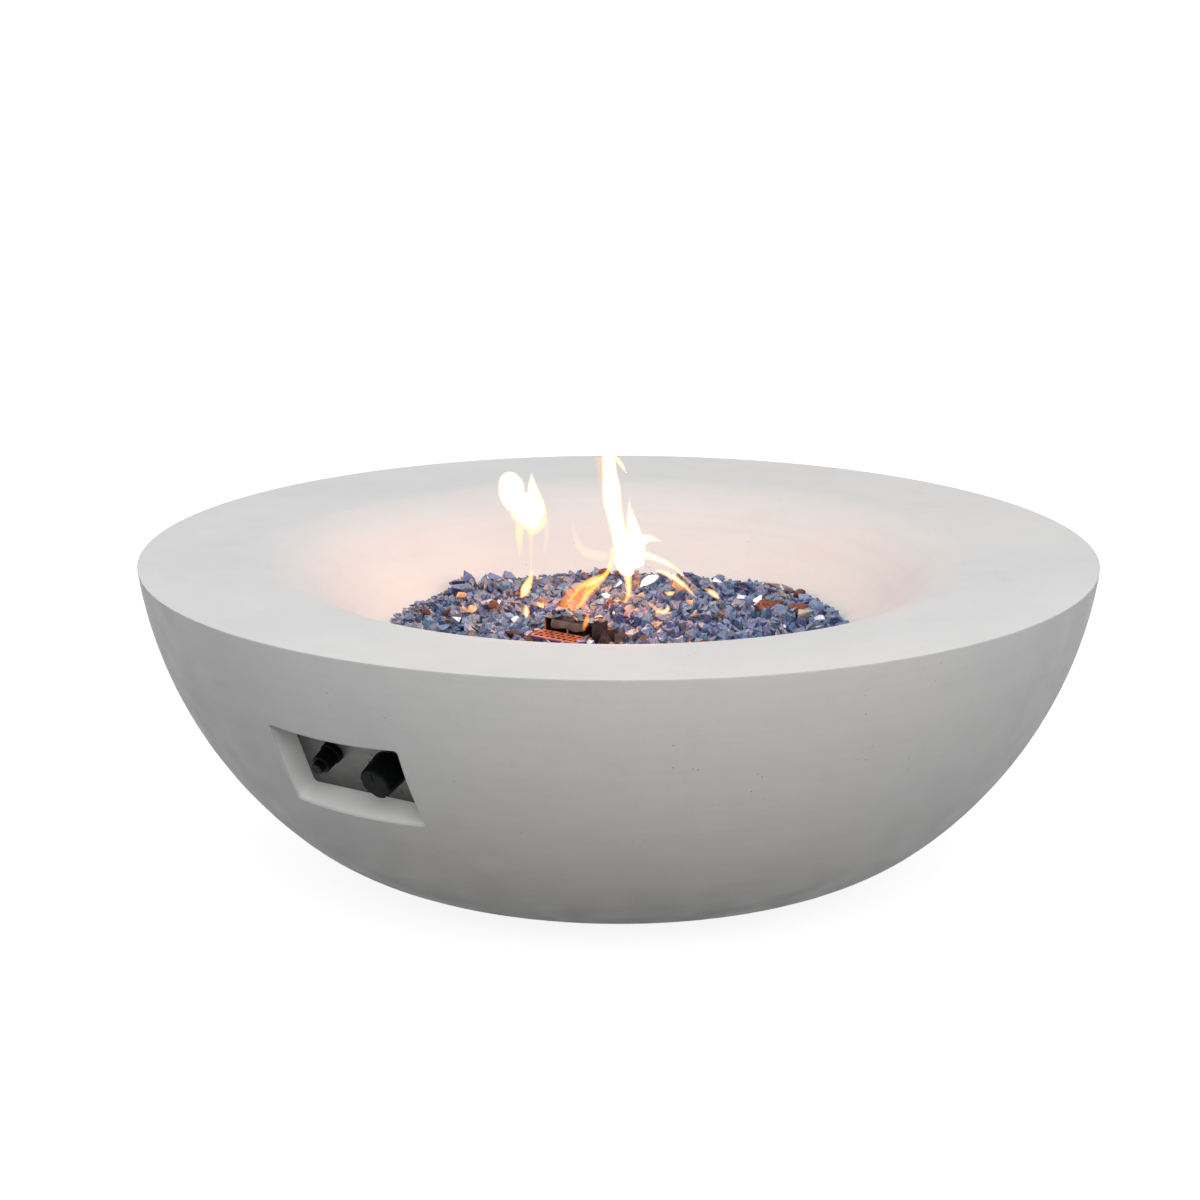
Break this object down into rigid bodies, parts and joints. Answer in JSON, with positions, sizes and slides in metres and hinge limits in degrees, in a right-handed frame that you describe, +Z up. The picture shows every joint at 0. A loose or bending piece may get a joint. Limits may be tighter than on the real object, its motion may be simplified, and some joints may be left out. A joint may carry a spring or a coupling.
{
  "type": "gas fire pit",
  "caption": "Round cast concrete fire bowl with a broad flat rim, a dished fire bed of glass and lava rock over a ring burner, and a recessed plate with a gas knob and igniter.",
  "frame": {"origin": "centre of the circle of foot pads, on the ground plane", "axes": "+Z up; -Y towards the control recess; +Y towards the gas inlet; +X to the right of someone who faces the controls"},
  "size_m": [1.0698, 1.07, 0.354],
  "materials": {
    "concrete": "matte",
    "lava": "matte",
    "fire_glass": "gloss",
    "stainless": "satin",
    "galvanised": "satin",
    "sooted_steel": "matte",
    "brass": "satin",
    "aluminium": "satin",
    "spring_steel": "gloss",
    "black_plastic": "satin",
    "rubber": "matte",
    "ceramic": "satin",
    "copper": "satin",
    "cell": "gloss",
    "silicone": "satin"
  },
  "bodies": {
    "root": {"air_mixer": "brass", "base_plate": "galvanised", "base_screws": "galvanised", "battery": "cell", "battery_spring": "spring_steel", "bowl_casting": "concrete", "burner_locknut": "brass", "burner_pan": "stainless", "burner_pipe": "aluminium", "control_plate": "stainless", "fire_glass": "fire_glass", "foot_pads": "rubber", "gas_jet": "brass", "igniter_body": "black_plastic", "igniter_nut": "black_plastic", "ignition_electrode": "ceramic", "ignition_wire": "silicone", "inlet_fitting": "brass", "inlet_nut": "brass", "inlet_pipe": "aluminium", "lava_rock": "lava", "magnet_unit": "brass", "pilot_bracket": "sooted_steel", "pilot_cage": "sooted_steel", "pipe_nuts": "brass", "ring_burner": "stainless", "stud_nuts": "galvanised", "thermocouple": "copper", "thermocouple_lead": "copper", "valve_body": "aluminium", "valve_bonnet": "galvanised", "valve_screws": "galvanised"},
    "valve_plug": {"valve_plug": "brass", "knob_spring": "spring_steel"},
    "control_knob": {"control_knob": "black_plastic", "valve_spindle": "brass"},
    "igniter_cap": {"igniter_cap": "black_plastic", "button_spring": "spring_steel"},
    "igniter_button": {"igniter_button": "black_plastic"}
  },
  "joints": [
    {"name": "knob_turn", "type": "hinge", "parent": "root", "child": "valve_plug", "pos_m": [0.04, -0.4524, 0.2268], "axis": [0, -0.8988, -0.4384], "range_deg": [-90, 90]},
    {"name": "knob_push", "type": "slide", "parent": "valve_plug", "child": "control_knob", "axis": [0, 0.8988, 0.4384], "range_m": [0, 0.004], "stiffness_N_per_m": 800, "springref_m": -0.004, "deforming": ["knob_spring"]},
    {"name": "igniter_cap_off", "type": "slide", "parent": "root", "child": "igniter_cap", "axis": [0, -0.8988, -0.4384], "range_m": [0, 0.028]},
    {"name": "igniter_press", "type": "slide", "parent": "igniter_cap", "child": "igniter_button", "axis": [0, 0.8988, 0.4384], "range_m": [0, 0.003], "stiffness_N_per_m": 500, "springref_m": -0.003, "deforming": ["button_spring"]}
  ]
}
